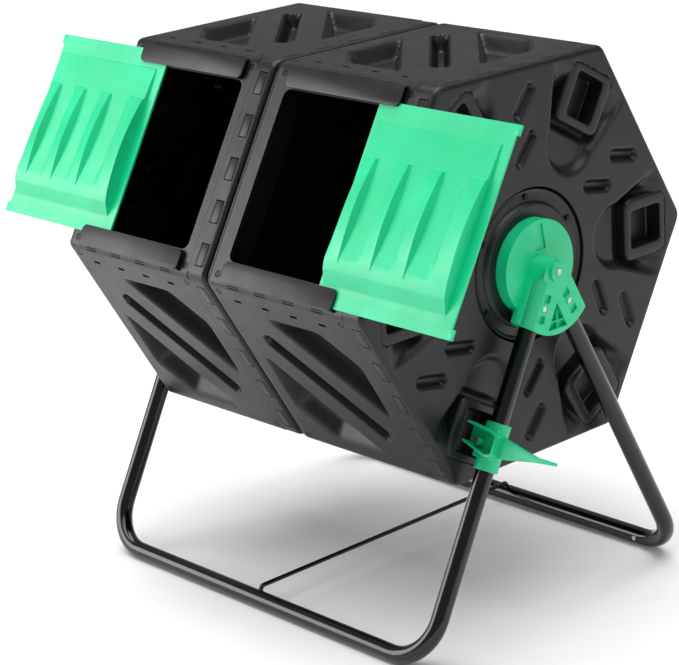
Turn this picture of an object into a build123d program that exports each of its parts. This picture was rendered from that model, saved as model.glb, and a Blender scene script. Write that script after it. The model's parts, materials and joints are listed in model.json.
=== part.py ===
from build123d import *
import math
import os

# Two-chamber compost tumbler: a hexagonal drum that turns on two hub brackets,
# carried by two bent-tube leg frames. All sizes are in millimetres.
# Frame: X runs along the drum axis, -Y is the door side, +Z is up, and the
# origin is on the floor under the middle of the drum.

os.makedirs("parts", exist_ok=True)

# ---------------------------------------------------------------- drum sizes
axis_height = 502.5         # drum axis above the floor
hex_radius = 315.0          # drum axis to a hexagon corner
drum_half_length = 309.0    # drum centre to the outer face of an end panel
seam_gap = 4.0              # open seam between the two chambers
wall = 3.0                  # moulded panel wall
panel_joint = 0.3           # gap between neighbouring panels
rim_width = 36.0            # end panel rim that wraps onto the drum's sides
rim_edge_radius = 7.0       # rounded outer edge of the rim
lip_wall = 4.0              # locating lip inside the side panels
lip_long = 15.0             # lip reach past the rim, under the side panels
lip_short = 27.0            # lip reach under the flanged ends of the panels

# ---------------------------------------------------------------- side panels
pan_depth = 24.0            # moulded recesses in the side panels
pan_draft = 22.0            # draft of their walls, degrees
pan_shift_x = 6.0           # pattern centre from the panel centre, along X
pan_shift_v = 12.0          # and away from the hooked edge
pan_half_length = 110.0
pan_half_height = 124.0
pan_corner_cut = 54.0       # bevelled outer corner of a large recess
bar_offset = 52.3           # pattern centre to a large recess's diagonal edge
channel_width = 28.0        # diagonal channel in the middle
channel_length = 224.0
channel_draft = 10.0
hook_slot_length = 14.0
hook_slot_width = 4.5
hook_slot_pitch = 56.0
hook_slot_inset = 27.0      # slots from the hooked edge
mark_depth = 1.2            # depth of small surface marks
screw_inset_v = 14.0        # panel screws from the long edges
screw_inset_rim = 8.0       # and from the panel's two ends
screw_inset_flange = 21.0
screw_head_radius = 4.0
screw_head_height = 1.6
screw_shank_radius = 1.6
screw_length = 7.2
screw_sink = 1.8            # wells for the heads in the side panels
screw_well_radius = 5.0

# ---------------------------------------------------------------- end panels
grip_radius = 238.0         # drum axis to the centre of a grip frame
grip_length = 86.0          # grip frame, radial
grip_width = 90.0           # grip frame, across
grip_corner = 14.0
pocket_length = 62.0
pocket_width = 54.0
pocket_depth = 25.0
dish_depth = 12.0           # hollow around each grip frame
dish_from_seat = 22.0       # round end of the hollow from the bearing seat
dish_round = 50.0
dish_end = 236.0
dish_half_width = 72.0
dish_draft = 30.0
pill_length = 58.0
pill_width = 18.0
pill_depth = 8.0
pill_radii = (160.0, 224.0)
pill_turn = -40.0           # pill direction from the radial line, degrees
tongue_length = 15.0        # rim tongues, along X
tongue_width = 31.0
tongue_pitch = 62.0
tongue_groove = 1.2

# ---------------------------------------------------------------- hub bearing
bearing_radius = 66.0       # bracket disc that carries the drum
bearing_clearance = 0.05    # running fit of the disc in the ring
flange_width = 12.0         # bracket flange held behind the ring
flange_gap = 1.0            # ring around the flange
flange_thickness = 4.0
axial_play = 0.4
ring_width = 26.0           # ring past the flange
ring_lip_width = 8.0        # raised inner lip of the ring past the flange
ring_screw_inset = 10.0     # ring screws from the ring's edge
ring_recess = 4.0           # ring face below the end panel's face
seat_clearance = 2.0
seat_depth = 12.0           # round seat in the middle of an end panel
disc_proud = 18.0           # disc face in front of the end panel
disc_wall = 5.0

# ---------------------------------------------------------------- stand
tube_radius = 12.5
tube_wall = 1.5
leg_from_panel = 29.0       # end panel face to the leg centre-lines, along X
foot_spread = 259.0         # drum axis to a floor bar, along Y
bend_radius = 65.0
leg_end_gap = 5.25          # top ends of the legs past where two tubes would touch
socket_clearance = 0.2
socket_end_gap = 1.0
rod_radius = 3.25
rod_rise = 6.0              # tie rod centre above the floor bars
rod_bend = 6.0
rod_inset = 4.0             # rod ends from the bar centre-lines
rod_end_depth = 5.0         # rod ends inside the bars
hole_clearance = 0.1
button_radius = 3.5
button_from_corner = 70.0
button_proud = 2.0
button_shoulder = 2.0       # button inside the tube's wall

# ---------------------------------------------------------------- brackets
fan_cover = 5.5             # plastic in front of the legs
fan_socket_wall = 7.5       # plastic beside the legs
fan_reach = 82.0
fan_arc = 88.0
boss_radius = 14.0
boss_wall = 4.0             # fan past the boss
boss_proud = 5.0
bolt_radius = 4.5
bolt_length = 22.0
bolt_hole_depth = 24.0
bolt_head_proud = 1.0
leg_screw_distance = 53.0   # hub axis to a leg screw, along the leg
screw_ring_radius = 7.0     # raised ring around a leg screw
screw_ring_height = 1.5
head_clearance = 0.3
screw_head_seat = 2.5       # head seat below the fan's face
window_size = (13.0, 11.0)  # blind windows beside the leg screws
window_corner = 2.0
window_depth = 4.0
window_steps = (-14.0, 15.0)  # windows from the leg screw, along the leg
window_turn = 28.0
scoop_outline = [(-9, 24), (-5, 60), (7, 60), (13, 24)]  # hollow in the disc's face
scoop_floor = 2.0

# ---------------------------------------------------------------- lock
lock_distance = 246.0       # hub axis to the lever pin, along the leg
collar_wall = 4.3
collar_up = 30.0            # collar ends from the pin
collar_down = 36.0
collar_pad_proud = 0.5      # pad face past the collar
collar_pad_width = 30.0
collar_pad_up = 12.0        # pad height past the collar's upper end
lever_gap = 0.4
lever_depth = 18.0
lever_floor = 3.0           # floor of the lever's pocket
arm_depth = 8.0             # thickness of the arm beyond the pocket
arm_start = 34.0            # pin to the thin arm
arm_end = 146.0
pin_radius = 2.5
pin_clearance = 0.05
pin_seat = 3.0              # pin inside the collar's pad
pin_head = 2.0

# ---------------------------------------------------------------- doors
door_length = 245.0         # along X, without the corner ears
door_half_height = 139.0
door_sheet = 3.0
door_float = 0.35           # door from the panel face, and from the rails
door_hold = {"left": 57.5, "right": 37.5}  # door still under its rails, half open
door_rise = {"left": 5.0, "right": -10.0}  # where the doors rest in the rails' play
ear_length = 5.0
ear_width = 14.0
field_top = 112.0           # raised field of a door
field_ridge = -85.0
field_bottom = -112.0
field_height = 14.5
field_inner_margin = 8.0
field_outer_margin = 16.0
rib_count = 4
rib_pitch = 60.0
rib_width = 25.0
rib_top = 65.0
rib_bottom = -80.0
rib_rise = 9.0
opening_length = 224.0
opening_height = 246.0
opening_corner = 12.0
opening_shift = 8.0         # opening centre from the panel centre, along X
rail_inner_v = 124.0
rail_foot_v = 150.5         # inner face of a rail's foot: the doors have play
rail_foot = 3.0
rail_top = 3.0              # thickness of the rail over the door
rail_start = 2.0            # closed end of the rails from the opening's edge
rail_length = 222.0
rail_end_radius = 9.0

# ---------------------------------------------------------------- worked out
apothem = hex_radius * math.cos(math.radians(30))
half_side = hex_radius / 2
chamber_length = drum_half_length - seam_gap / 2
panel_length = chamber_length - rim_width
chamber_starts = {"left": -drum_half_length, "right": seam_gap / 2}
face_angles = {
    "door": 150,
    "top": 90,
    "rear_upper": 30,
    "rear_lower": -30,
    "bottom": -90,
    "front_lower": -150,
}
bearing_length = seat_depth + disc_proud
leg_drop = axis_height - tube_radius
leg_length = math.hypot(foot_spread, leg_drop)
leg_sin = foot_spread / leg_length
leg_cos = leg_drop / leg_length
leg_top = tube_radius / leg_sin + leg_end_gap
leg_plane = drum_half_length + leg_from_panel
flange_radius = bearing_radius + flange_width
ring_radius = flange_radius + ring_width
ring_screw_circle = ring_radius - ring_screw_inset
seat_radius = ring_radius + seat_clearance
dish_start = seat_radius + dish_from_seat
fan_front = tube_radius + fan_cover
fan_half_socket = tube_radius + fan_socket_wall
collar_radius = tube_radius + socket_clearance + collar_wall
collar_pad = collar_radius + collar_pad_proud
rail_outer_v = rail_foot_v + rail_foot
lip_apothem = apothem - wall - panel_joint
mitre = math.tan(math.radians(30))


def face_plane(angle, x):
    """Plane on a side of the drum: x along X, z outwards."""
    turn = math.radians(angle)
    outward = (0, math.cos(turn), math.sin(turn))
    origin = (x, apothem * outward[1], axis_height + apothem * outward[2])
    return Plane(origin=origin, x_dir=(1, 0, 0), z_dir=outward)


def hub_plane(side, x):
    """Plane across the drum axis at distance x on one side, z outwards."""
    return Plane(origin=(side * x, 0, axis_height), x_dir=(0, side, 0), z_dir=(side, 0, 0))


def hexagon(apothem_size):
    """Regular hexagon with corners on the local x axis."""
    return RegularPolygon(apothem_size, 6, major_radius=False)


def save(builder, name):
    """Label a finished piece and write its STEP file."""
    builder.part.label = name
    export_step(builder.part, f"parts/{name}.step")
    print(name, len(builder.part.solids()), round(builder.part.volume))


# ------------------------------------------------------------ side panel blank
# A flat plate with mitred long edges, in the panel's own frame: x along the
# drum, y along the face, z outwards, with the origin on the outer face.
with BuildPart() as panel_blank:
    with BuildSketch(Plane.YZ):
        edge = half_side - panel_joint / 2
        Polygon(
            (-edge, 0),
            (edge, 0),
            (edge - wall * mitre, -wall),
            (-edge + wall * mitre, -wall),
            align=None,
        )
    extrude(amount=panel_length / 2, both=True)

panel_screw_x = (-panel_length / 2 + screw_inset_flange, panel_length / 2 - screw_inset_rim)
panel_screw_v = half_side - screw_inset_v
panel_screw_points = [(x, v) for x in panel_screw_x for v in (-panel_screw_v, panel_screw_v)]


def screw_wells():
    """Counterbored holes for a side panel's four screws."""
    with Locations(*panel_screw_points):
        CounterBoreHole(screw_shank_radius, screw_well_radius, screw_sink, depth=wall)


def recess_outline(grow):
    """Large five-sided recess above the channel; grow pushes its edges out."""
    right = pan_half_length + grow
    top = pan_half_height + grow
    cut = pan_corner_cut + grow * mitre
    diagonal = bar_offset * math.sqrt(2) - grow * math.sqrt(2)
    return [
        (diagonal - top, top),
        (right - cut, top),
        (right, top - cut),
        (right, diagonal - right),
    ]


# ------------------------------------------------------------ plain side panel
def plain_panel(hooked_edge):
    """Side panel stiffened by two large drafted recesses and a diagonal channel.

    The recesses also stir the compost. The hooked edge (-1 bottom, 1 top) has a
    row of latch slots, and the pattern keeps further away from it.
    """
    centre_v = -hooked_edge * pan_shift_v
    with BuildPart() as panel:
        add(panel_blank.part)
        for grow, mode in ((wall, Mode.ADD), (0, Mode.SUBTRACT)):
            for turn in (0, 180):
                with BuildSketch(Plane.XY):
                    with Locations(Location((pan_shift_x, centre_v, 0), (0, 0, turn))):
                        Polygon(*recess_outline(grow), align=None)
                extrude(amount=-(pan_depth + grow), taper=pan_draft, mode=mode)
            with BuildSketch(Plane.XY):
                with Locations(Location((pan_shift_x, centre_v, 0), (0, 0, -45))):
                    SlotOverall(channel_length + 2 * grow, channel_width + 2 * grow)
            extrude(amount=-(pan_depth + grow), taper=channel_draft, mode=mode)
        with BuildSketch(Plane.XY):
            with Locations((0, hooked_edge * (half_side - hook_slot_inset))):
                with GridLocations(hook_slot_pitch, 0, 4, 1):
                    Rectangle(hook_slot_length, hook_slot_width)
        extrude(amount=-mark_depth, mode=Mode.SUBTRACT)
        screw_wells()
    return panel.part


# ------------------------------------------------------------ door side panel
# The plate with the door opening; the doors slide over it.
with BuildPart() as door_panel:
    add(panel_blank.part)
    with BuildSketch(Plane.XY):
        with Locations((opening_shift, 0)):
            RectangleRounded(opening_length, opening_height, opening_corner)
    extrude(amount=-wall, mode=Mode.SUBTRACT)
    screw_wells()

# ------------------------------------------------------------ the twelve panels
panel_blanks = {face: plain_panel(-1) for face in ("top", "rear_upper", "bottom")}
panel_blanks.update({face: plain_panel(1) for face in ("rear_lower", "front_lower")})
panel_blanks["door"] = door_panel.part
screw_frames = []

for chamber, start in chamber_starts.items():
    for face, angle in face_angles.items():
        frame = face_plane(angle, start + panel_length / 2).location
        with BuildPart() as side_panel:
            with Locations(frame):
                add(panel_blanks[face])
        save(side_panel, f"{chamber}_{face}_panel")
        screw_frames += [frame * Location((x, v, -screw_sink)) for x, v in panel_screw_points]


def screws(frames, head_height, shank_radius, shank_length):
    """Pan-head screws, one at each frame, heads outwards."""
    with BuildPart() as group:
        with Locations(*frames):
            Cylinder(
                screw_head_radius, head_height, align=(Align.CENTER, Align.CENTER, Align.MIN)
            )
            Cylinder(
                shank_radius, shank_length, align=(Align.CENTER, Align.CENTER, Align.MAX)
            )
    return group


# ------------------------------------------------------------ panel screws
# Four pan-head screws hold each side panel to the lips under its ends.
panel_shank_radius = screw_shank_radius - hole_clearance
save(screws(screw_frames, screw_head_height, panel_shank_radius, screw_length), "panel_screws")

with BuildPart() as screw_holes:
    with Locations(*screw_frames):
        Cylinder(
            screw_shank_radius, screw_length + 1, align=(Align.CENTER, Align.CENTER, Align.MAX)
        )

# ------------------------------------------------------------ end panel blank
# Local frame: z is outwards along the drum axis, the outer face is z = 0 and
# the hexagon's corners lie on the x axis. The middle is a round seat for the
# hub bearing, with six framed hand grips around it.
def dish_outline(grow):
    """Hollow around one grip: a round end that flares towards the corner."""
    start = (dish_start + dish_round, -dish_round - grow)
    finish = (dish_start + dish_round, dish_round + grow)
    with BuildSketch() as outline:
        with BuildLine():
            ThreePointArc(finish, (dish_start - grow, 0), start)
            Polyline(
                start,
                (dish_end + grow, -dish_half_width - grow),
                (dish_end + grow, dish_half_width + grow),
                finish,
            )
        make_face()
    return outline.sketch


def face_features(blank_part):
    """Cut and raise the grips, pills and bearing seat on an end panel."""
    with BuildPart() as panel:
        add(blank_part)
        for turn in range(0, 360, 60):
            plane = Plane(origin=(0, 0, 0), x_dir=Vector(1, 0, 0).rotate(Axis.Z, turn), z_dir=(0, 0, 1))
            with BuildSketch(plane):
                add(dish_outline(wall))
            extrude(amount=-(dish_depth + wall))
            with BuildSketch(plane):
                with Locations((grip_radius, 0)):
                    RectangleRounded(pocket_length + 2 * wall, pocket_width + 2 * wall, 6)
            extrude(amount=-(pocket_depth + wall))
            middle = plane.rotated((0, 0, 30))
            with BuildSketch(middle):
                with Locations(*[Location((r, 0, 0), (0, 0, pill_turn)) for r in pill_radii]):
                    SlotOverall(pill_length + 2 * wall, pill_width + 2 * wall)
            extrude(amount=-(pill_depth + wall))
        with BuildSketch():
            Circle(seat_radius + wall)
        extrude(amount=-(seat_depth + wall))
        for turn in range(0, 360, 60):
            plane = Plane(origin=(0, 0, 0), x_dir=Vector(1, 0, 0).rotate(Axis.Z, turn), z_dir=(0, 0, 1))
            with BuildSketch(plane):
                add(dish_outline(0))
                with Locations((grip_radius, 0)):
                    RectangleRounded(grip_length, grip_width, grip_corner, mode=Mode.SUBTRACT)
            extrude(amount=-dish_depth, mode=Mode.SUBTRACT)
            with BuildSketch(plane):
                with Locations((grip_radius, 0)):
                    RectangleRounded(pocket_length, pocket_width, 4)
            extrude(amount=-pocket_depth, mode=Mode.SUBTRACT)
            middle = plane.rotated((0, 0, 30))
            with BuildSketch(middle):
                with Locations(*[Location((r, 0, 0), (0, 0, pill_turn)) for r in pill_radii]):
                    SlotOverall(pill_length, pill_width)
            extrude(amount=-pill_depth, mode=Mode.SUBTRACT)
        with BuildSketch():
            Circle(seat_radius)
        extrude(amount=-seat_depth, mode=Mode.SUBTRACT)
        with BuildSketch(Plane.XY.offset(-seat_depth)):
            with PolarLocations(ring_screw_circle, 6, start_angle=30):
                Circle(screw_shank_radius)
        extrude(amount=-wall, mode=Mode.SUBTRACT)
    return panel.part


def rim_blank():
    """Hexagonal cap: a plate, a rim flush with the drum's sides and a lip."""
    with BuildPart() as cap:
        with BuildSketch():
            hexagon(apothem)
        extrude(amount=-rim_width)
        fillet(cap.faces().sort_by(Axis.Z)[-1].edges(), rim_edge_radius)
        with BuildSketch(Plane.XY.offset(-wall)):
            hexagon(lip_apothem - lip_wall)
        extrude(amount=-(rim_width - wall), mode=Mode.SUBTRACT)
        with BuildSketch(Plane.XY.offset(-rim_width)):
            hexagon(lip_apothem)
            RegularPolygon(lip_apothem - lip_wall, 6, major_radius=False, mode=Mode.SUBTRACT)
        extrude(amount=-lip_long)
        for angle in range(30, 360, 60):
            turn = math.radians(angle)
            outward = (math.cos(turn), math.sin(turn), 0)
            side = Plane(
                origin=(apothem * outward[0], apothem * outward[1], 0), x_dir=(0, 0, 1), z_dir=outward
            )
            with BuildSketch(side):
                with Locations((-rim_edge_radius - tongue_length / 2, 0)):
                    with GridLocations(0, tongue_pitch, 1, 5):
                        Rectangle(tongue_length, tongue_width)
                        Rectangle(
                            tongue_length - 2 * tongue_groove,
                            tongue_width - 2 * tongue_groove,
                            mode=Mode.SUBTRACT,
                        )
            extrude(amount=-tongue_groove, mode=Mode.SUBTRACT)
    return cap.part


right_cap = face_features(rim_blank())
with BuildPart() as right_end_panel:
    with Locations(hub_plane(1, drum_half_length).location):
        add(right_cap)
    add(screw_holes.part, mode=Mode.SUBTRACT)
save(right_end_panel, "right_end_panel")

# The left end panel stands inside the flanged ends of the left side panels.
with BuildPart() as left_blank:
    with BuildSketch():
        hexagon(lip_apothem)
    extrude(amount=-lip_short)
    with BuildSketch(Plane.XY.offset(-wall)):
        hexagon(lip_apothem - lip_wall)
    extrude(amount=-(lip_short - wall), mode=Mode.SUBTRACT)
left_cap = face_features(left_blank.part)
with BuildPart() as left_end_panel:
    with Locations(hub_plane(-1, drum_half_length).location):
        add(left_cap)
    add(screw_holes.part, mode=Mode.SUBTRACT)
save(left_end_panel, "left_end_panel")

# ------------------------------------------------------------ middle divider
# A web between the chambers with the same rim for the left chamber, and a lip
# that the flanged ends of the right chamber's panels sit on.
divider_blank = rim_blank()
with BuildPart() as middle_divider:
    with Locations(hub_plane(1, -seam_gap / 2).location):
        add(divider_blank)
    with BuildSketch(hub_plane(1, -seam_gap / 2)):
        hexagon(lip_apothem)
        RegularPolygon(lip_apothem - lip_wall, 6, major_radius=False, mode=Mode.SUBTRACT)
    extrude(amount=seam_gap + lip_short)
    add(screw_holes.part, mode=Mode.SUBTRACT)
save(middle_divider, "middle_divider")

# ------------------------------------------------------------ hub bearings
# The bracket's disc is the bearing: the drum's ring runs on it, and its flange
# is held between the ring and the end panel's seat.
flange_start = drum_half_length - seat_depth + axial_play
flange_end = flange_start + flange_thickness
ring_step = seat_depth - 2 * axial_play - flange_thickness

for name, side in (("left", -1), ("right", 1)):
    with BuildPart() as retaining_ring:
        with BuildSketch(hub_plane(side, drum_half_length - seat_depth)):
            Circle(ring_radius)
            Circle(flange_radius + flange_gap, mode=Mode.SUBTRACT)
        extrude(amount=seat_depth - ring_recess)
        with BuildSketch(hub_plane(side, flange_end + axial_play)):
            Circle(flange_radius + ring_lip_width)
            Circle(bearing_radius + bearing_clearance, mode=Mode.SUBTRACT)
        extrude(amount=ring_step)
        with BuildSketch(hub_plane(side, drum_half_length - seat_depth)):
            with PolarLocations(ring_screw_circle, 6, start_angle=30):
                Circle(screw_shank_radius)
        extrude(amount=seat_depth, mode=Mode.SUBTRACT)
    save(retaining_ring, f"{name}_retaining_ring")

ring_screw_frames = []
for side in (-1, 1):
    frame = hub_plane(side, drum_half_length - ring_recess).location
    for turn in range(30, 390, 60):
        spot = Vector(ring_screw_circle, 0, 0).rotate(Axis.Z, turn)
        ring_screw_frames.append(frame * Location(spot))
save(screws(ring_screw_frames, screw_head_height, panel_shank_radius, seat_depth), "ring_screws")

# ------------------------------------------------------------ leg frames
# Each frame is one bent tube: a floor bar between two raked legs.
for name, front in (("front", -1), ("rear", 1)):
    top_y = front * leg_sin * leg_top
    top_z = axis_height - leg_cos * leg_top
    with BuildPart() as leg_frame:
        with BuildLine() as path:
            FilletPolyline(
                (-leg_plane, top_y, top_z),
                (-leg_plane, front * foot_spread, tube_radius),
                (leg_plane, front * foot_spread, tube_radius),
                (leg_plane, top_y, top_z),
                radius=bend_radius,
            )
        leg_end = Plane(
            origin=(-leg_plane, top_y, top_z), x_dir=(1, 0, 0), z_dir=(0, front * leg_sin, -leg_cos)
        )
        with BuildSketch(leg_end):
            Circle(tube_radius)
            Circle(tube_radius - tube_wall, mode=Mode.SUBTRACT)
        sweep()
        rod_end_y = front * (foot_spread - rod_inset)
        with Locations((0, rod_end_y, 2 * tube_radius)):
            Cylinder(rod_radius + hole_clearance, 8 * tube_wall, mode=Mode.SUBTRACT)
        with Locations(
            *[
                Location((x, front * (foot_spread - tube_radius), tube_radius), (90, 0, 0))
                for x in (-leg_plane + button_from_corner, leg_plane - button_from_corner)
            ]
        ):
            Cylinder(button_radius + hole_clearance, 4 * tube_wall, mode=Mode.SUBTRACT)
        for side in (-1, 1):
            hole_y = front * leg_sin * leg_screw_distance
            hole_z = axis_height - leg_cos * leg_screw_distance
            with Locations(Location((side * leg_plane, hole_y, hole_z), (0, 90, 0))):
                Cylinder(screw_shank_radius + hole_clearance, 4 * tube_radius, mode=Mode.SUBTRACT)
    save(leg_frame, f"{name}_leg_frame")

# The tie rod's ends turn down into holes in the tops of the floor bars.
rod_y = foot_spread - rod_inset
rod_z = 2 * tube_radius + rod_rise
rod_foot_z = 2 * tube_radius - rod_end_depth
with BuildPart() as tie_rod:
    with BuildLine():
        FilletPolyline(
            (0, -rod_y, rod_foot_z),
            (0, -rod_y, rod_z),
            (0, rod_y, rod_z),
            (0, rod_y, rod_foot_z),
            radius=rod_bend,
        )
    with BuildSketch(Plane(origin=(0, -rod_y, rod_foot_z), x_dir=(1, 0, 0), z_dir=(0, 0, 1))):
        Circle(rod_radius)
    sweep()
save(tie_rod, "tie_rod")

# Spring buttons show in the inner faces of the floor bars near the corners.
with BuildPart() as frame_buttons:
    for front in (-1, 1):
        for side in (-1, 1):
            x = side * (leg_plane - button_from_corner)
            y = front * (foot_spread - tube_radius + tube_wall + button_shoulder)
            with Locations(Location((x, y, tube_radius), (front * 90, 0, 0))):
                Cylinder(
                    button_radius,
                    tube_wall + button_shoulder + button_proud,
                    align=(Align.CENTER, Align.CENTER, Align.MIN),
                )
save(frame_buttons, "frame_buttons")

# ------------------------------------------------------------ hub brackets
# A thick disc with a captive flange, and a fan-shaped socket for two legs.
fan_back = drum_half_length + disc_proud
fan_face = leg_plane + fan_front
left_edge_x = leg_sin * fan_reach + leg_cos * fan_half_socket
left_edge_y = -leg_cos * fan_reach + leg_sin * fan_half_socket
top_edge_x = leg_cos * fan_half_socket
top_edge_y = leg_sin * fan_half_socket

for name, side in (("left", -1), ("right", 1)):
    with BuildPart() as hub_bracket:
        with BuildSketch(hub_plane(side, flange_start)):
            Circle(flange_radius)
        extrude(amount=flange_thickness)
        with BuildSketch(hub_plane(side, flange_start)):
            Circle(bearing_radius)
        extrude(amount=fan_back - flange_start)
        with BuildSketch(hub_plane(side, flange_start)):
            Circle(bearing_radius - disc_wall)
        extrude(amount=fan_back - flange_start - disc_wall, mode=Mode.SUBTRACT)
        with BuildSketch(hub_plane(side, fan_back - disc_wall)):
            with BuildLine():
                Line((-top_edge_x, top_edge_y), (-left_edge_x, left_edge_y))
                ThreePointArc((-left_edge_x, left_edge_y), (0, -fan_arc), (left_edge_x, left_edge_y))
                Line((left_edge_x, left_edge_y), (top_edge_x, top_edge_y))
                ThreePointArc((top_edge_x, top_edge_y), (0, boss_radius + boss_wall), (-top_edge_x, top_edge_y))
            make_face()
        extrude(amount=fan_face - fan_back + disc_wall)
        with BuildSketch(hub_plane(side, fan_face)):
            Circle(boss_radius)
        extrude(amount=boss_proud)
        for lean in (-1, 1):
            t = (0, lean * leg_sin, -leg_cos)
            socket_origin = (
                side * leg_plane,
                lean * leg_sin * (leg_top - socket_end_gap),
                axis_height - leg_cos * (leg_top - socket_end_gap),
            )
            with BuildSketch(Plane(origin=socket_origin, x_dir=(1, 0, 0), z_dir=t)):
                Circle(tube_radius + socket_clearance)
            extrude(amount=fan_arc, mode=Mode.SUBTRACT)
            for step in window_steps:
                along = leg_screw_distance + step
                spot = Location((lean * leg_sin * along, -leg_cos * along, 0), (0, 0, lean * window_turn))
                with BuildSketch(hub_plane(side, fan_face)):
                    with Locations(spot):
                        RectangleRounded(*window_size, window_corner)
                extrude(amount=-window_depth, mode=Mode.SUBTRACT)
            screw_spot = (lean * leg_sin * leg_screw_distance, -leg_cos * leg_screw_distance)
            with BuildSketch(hub_plane(side, fan_face)):
                with Locations(screw_spot):
                    Circle(screw_ring_radius)
            extrude(amount=screw_ring_height)
            with BuildSketch(hub_plane(side, fan_face + screw_ring_height)):
                with Locations(screw_spot):
                    Circle(screw_head_radius + head_clearance)
            extrude(amount=-screw_ring_height - screw_head_seat, mode=Mode.SUBTRACT)
            with BuildSketch(hub_plane(side, fan_face)):
                with Locations(screw_spot):
                    Circle(screw_shank_radius + hole_clearance)
            extrude(amount=-fan_face + fan_back - disc_wall, mode=Mode.SUBTRACT)
        with BuildSketch(hub_plane(side, fan_back)):
            with BuildLine():
                Polyline(*scoop_outline, close=True)
            make_face()
        extrude(amount=-disc_wall + scoop_floor, mode=Mode.SUBTRACT)
        with BuildSketch(hub_plane(side, fan_face + boss_proud)):
            Circle(bolt_radius)
        extrude(amount=-bolt_hole_depth, mode=Mode.SUBTRACT)
    save(hub_bracket, f"{name}_hub_bracket")

# Screws through the sockets and legs, and a bolt in the middle of each boss.
leg_screw_frames = []
for side in (-1, 1):
    frame = hub_plane(side, fan_face - screw_head_seat).location
    for lean in (-1, 1):
        spot = (lean * leg_sin * leg_screw_distance, -leg_cos * leg_screw_distance, 0)
        leg_screw_frames.append(frame * Location(spot))
save(screws(leg_screw_frames, 2 * screw_head_height, screw_shank_radius, 2 * tube_radius), "leg_screws")

with BuildPart() as hub_bolts:
    for side in (-1, 1):
        with Locations(hub_plane(side, fan_face + boss_proud + bolt_head_proud).location):
            Cylinder(bolt_radius - hole_clearance, bolt_length, align=(Align.CENTER, Align.CENTER, Align.MAX))
save(hub_bolts, "hub_bolts")

# ------------------------------------------------------------ drum lock
# Local frame on the front right leg: x along X, y up the leg, z away from the
# leg on the door side, with the origin on the leg's centre-line at the pin.
lock_origin = (leg_plane, -leg_sin * lock_distance, axis_height - leg_cos * lock_distance)
lock_outward = (0, -leg_cos, leg_sin)
lock_plane = Plane(origin=lock_origin, x_dir=(1, 0, 0), z_dir=lock_outward)
collar_plane = Plane(origin=lock_origin, x_dir=(1, 0, 0), z_dir=(0, leg_sin, leg_cos))

with BuildPart() as lock_collar:
    with BuildSketch(collar_plane.offset(-collar_down)):
        Circle(collar_radius)
    extrude(amount=collar_up + collar_down)
    with BuildSketch(lock_plane):
        Rectangle(collar_pad_width, collar_up + collar_pad_up)
    extrude(amount=collar_pad)
    with BuildSketch(collar_plane.offset(-collar_down)):
        Circle(tube_radius + socket_clearance)
    extrude(amount=collar_up + collar_down, mode=Mode.SUBTRACT)
    with BuildSketch(lock_plane.offset(collar_pad)):
        Circle(pin_radius + pin_clearance)
    extrude(amount=-pin_seat, mode=Mode.SUBTRACT)
save(lock_collar, "lock_collar")

lever_back = collar_pad + lever_gap
lever_outline = [
    (-24, 23),
    (27, 17),
    (41, 13),
    (99, 2),
    (130, 2),
    (132, -2),
    (92, -6),
    (22, -18),
    (-24, -6),
]
nose_pocket = [(-24, 20), (24, 14.5), (30, 10), (30, -12), (20, -15), (-24, -3)]
with BuildPart() as lock_lever:
    with BuildSketch(lock_plane.offset(lever_back)):
        Polygon(*lever_outline, align=None)
    extrude(amount=lever_depth)
    with BuildSketch(lock_plane.offset(lever_back + lever_depth)):
        Polygon(*nose_pocket, align=None)
    extrude(amount=-(lever_depth - lever_floor), mode=Mode.SUBTRACT)
    with BuildSketch(lock_plane.offset(lever_back + arm_depth)):
        with Locations(((arm_start + arm_end) / 2, 0)):
            Rectangle(arm_end - arm_start, collar_up + collar_down)
    extrude(amount=lever_depth, mode=Mode.SUBTRACT)
    with BuildSketch(lock_plane.offset(lever_back)):
        Circle(2 * pin_radius)
    extrude(amount=lever_depth - pin_head)
    with BuildSketch(lock_plane.offset(lever_back)):
        Circle(pin_radius + pin_clearance)
    extrude(amount=lever_depth, mode=Mode.SUBTRACT)
save(lock_lever, "lock_lever")

with BuildPart() as lock_pin:
    with BuildSketch(lock_plane.offset(collar_pad - pin_seat)):
        Circle(pin_radius)
    extrude(amount=lever_depth + pin_seat + lever_gap)
    with BuildSketch(lock_plane.offset(lever_back + lever_depth - pin_head + lever_gap)):
        Circle(2 * pin_radius)
    extrude(amount=pin_head)
save(lock_pin, "lock_pin")

# ------------------------------------------------------------ doors and rails
# Each door slides along X between the door panel and two L-section rails.
rail_under = 2 * door_float + door_sheet
field_length = door_length - field_inner_margin - field_outer_margin

# One rib: a fin across the field, arched along its length.
with BuildPart() as door_rib:
    with BuildSketch(Plane.YZ):
        with BuildLine():
            middle = (rib_top + rib_bottom) / 2
            slope = field_height / (field_top - field_ridge)
            z_top = door_sheet + (field_top - rib_top) * slope
            z_bottom = door_sheet + (field_top - rib_bottom) * slope
            crest = (z_top + z_bottom) / 2 + rib_rise
            ThreePointArc((rib_top, z_top), (middle, crest), (rib_bottom, z_bottom))
            Polyline((rib_top, z_top), (rib_top, door_sheet), (rib_bottom, door_sheet), (rib_bottom, z_bottom))
        make_face()
    extrude(amount=rib_width)

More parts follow.
